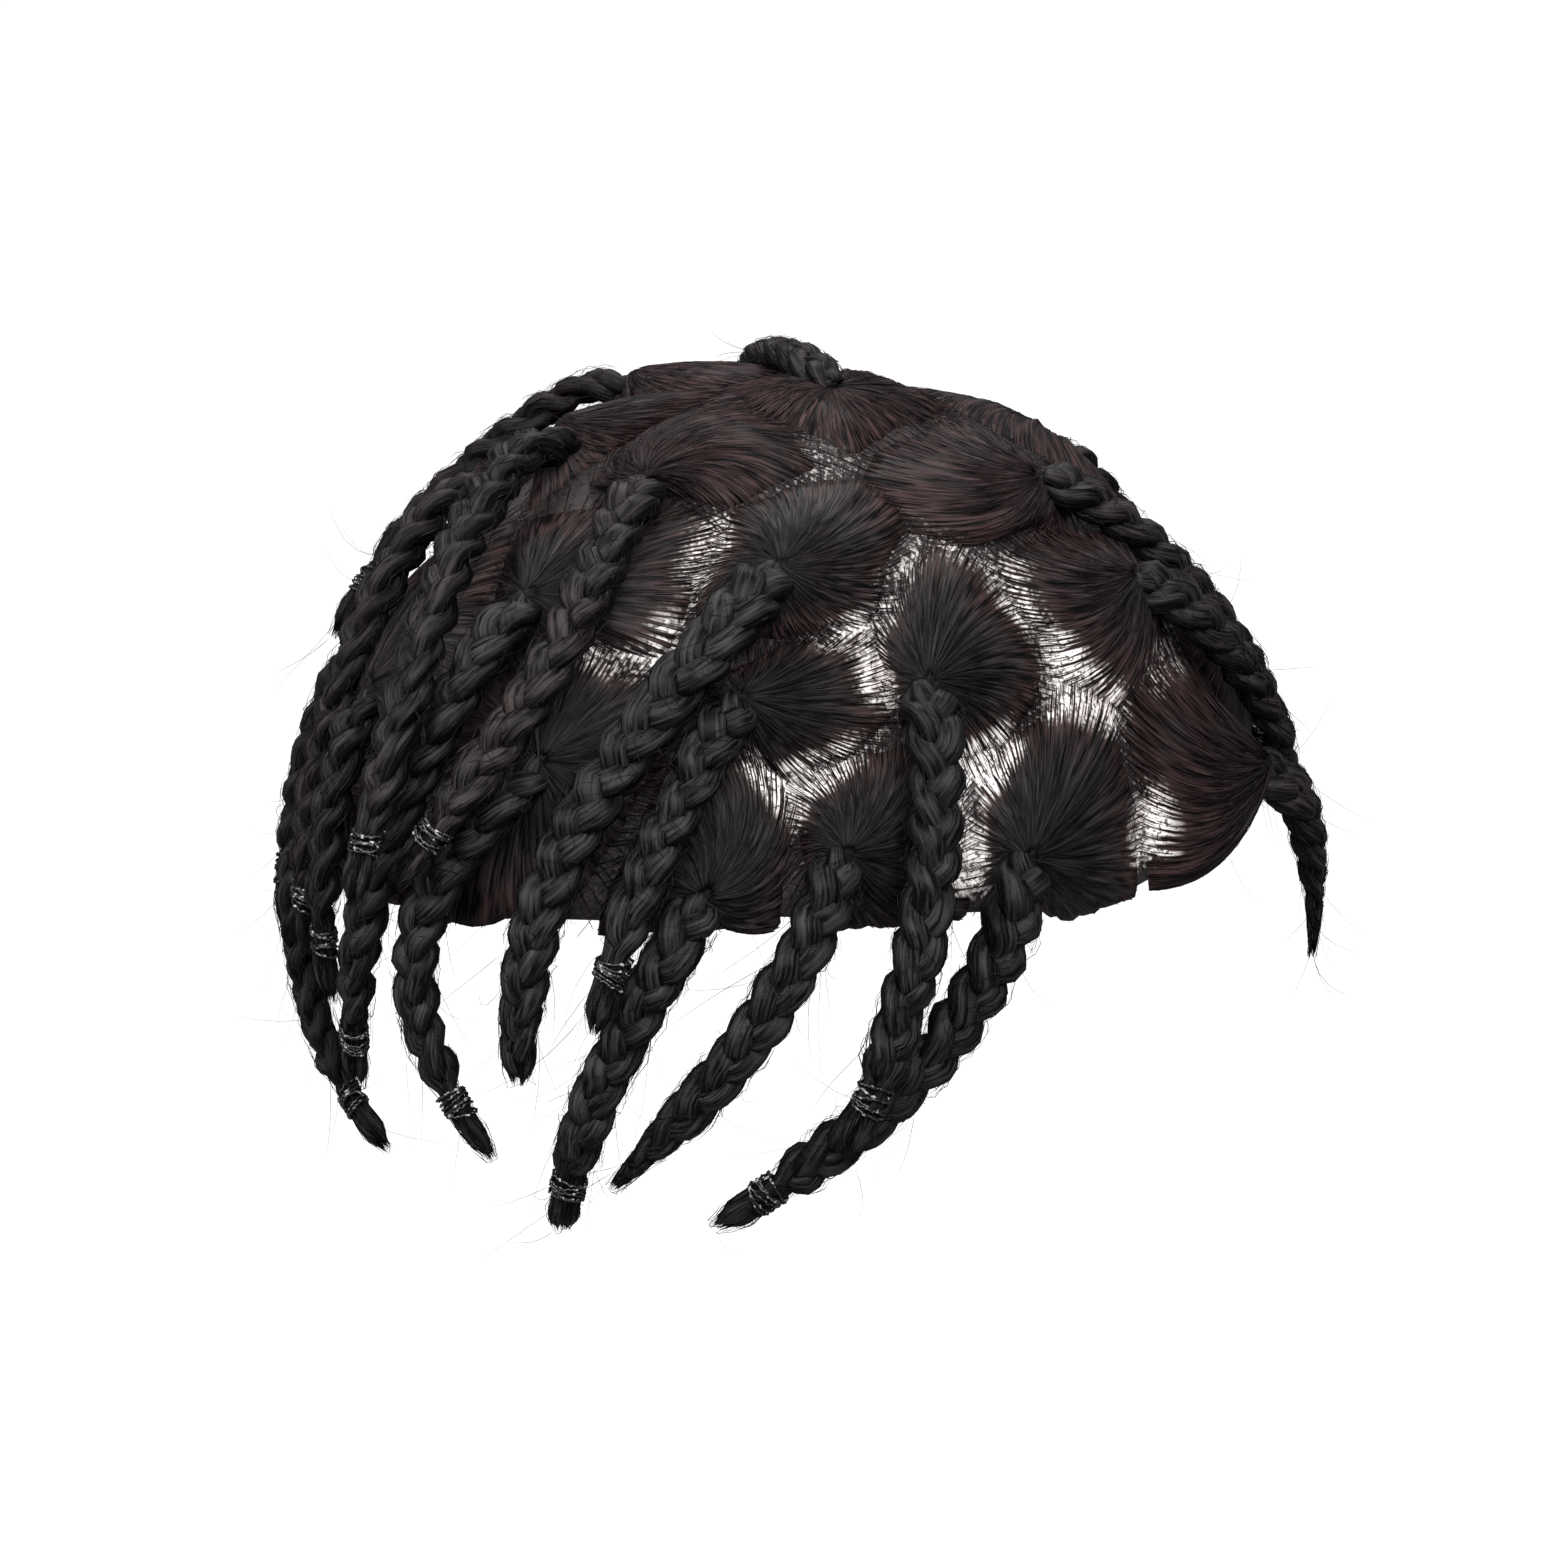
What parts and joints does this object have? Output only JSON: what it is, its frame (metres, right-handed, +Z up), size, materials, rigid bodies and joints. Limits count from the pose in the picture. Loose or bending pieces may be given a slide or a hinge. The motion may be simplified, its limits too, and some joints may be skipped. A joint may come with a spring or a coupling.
{
  "type": "braided toupee",
  "caption": "Domed hairpiece worn on the head: a thin base parted into sections, each gathered and plaited into a hanging braid, most bound by an elastic tie.",
  "frame": {"origin": "inside of the crown, where the base sits on the top of the head", "axes": "+Z up, the front hairline faces -Y, +X towards the wearer's left"},
  "size_m": [0.1764, 0.2259, 0.1515],
  "materials": {
    "base": "matt",
    "hair": "satin",
    "elastic": "gloss"
  },
  "bodies": {
    "root": {"base": "base", "crown_1_lock": "hair", "crown_1_tie": "elastic", "crown_2_lock": "hair", "crown_2_tie": "elastic", "crown_3_lock": "hair", "crown_3_tie": "elastic", "crown_4_lock": "hair", "crown_4_tie": "elastic", "middle_10_lock": "hair", "middle_1_lock": "hair", "middle_1_tie": "elastic", "middle_2_lock": "hair", "middle_2_tie": "elastic", "middle_3_lock": "hair", "middle_3_tie": "elastic", "middle_4_lock": "hair", "middle_4_tie": "elastic", "middle_5_lock": "hair", "middle_5_tie": "elastic", "middle_6_lock": "hair", "middle_6_tie": "elastic", "middle_7_lock": "hair", "middle_7_tie": "elastic", "middle_8_lock": "hair", "middle_8_tie": "elastic", "middle_9_lock": "hair", "middle_9_tie": "elastic", "rim_10_lock": "hair", "rim_10_tie": "elastic", "rim_1_lock": "hair", "rim_2_lock": "hair", "rim_2_tie": "elastic", "rim_3_lock": "hair", "rim_4_lock": "hair", "rim_4_tie": "elastic", "rim_5_lock": "hair", "rim_5_tie": "elastic", "rim_6_lock": "hair", "rim_6_tie": "elastic", "rim_7_lock": "hair", "rim_7_tie": "elastic", "rim_8_lock": "hair", "rim_8_tie": "elastic", "rim_9_lock": "hair", "rim_9_tie": "elastic", "upper_1_lock": "hair", "upper_2_lock": "hair", "upper_2_tie": "elastic", "upper_3_lock": "hair", "upper_3_tie": "elastic", "upper_4_lock": "hair", "upper_4_tie": "elastic", "upper_5_lock": "hair", "upper_5_tie": "elastic", "upper_6_lock": "hair", "upper_6_tie": "elastic", "upper_7_lock": "hair"}
  },
  "joints": []
}
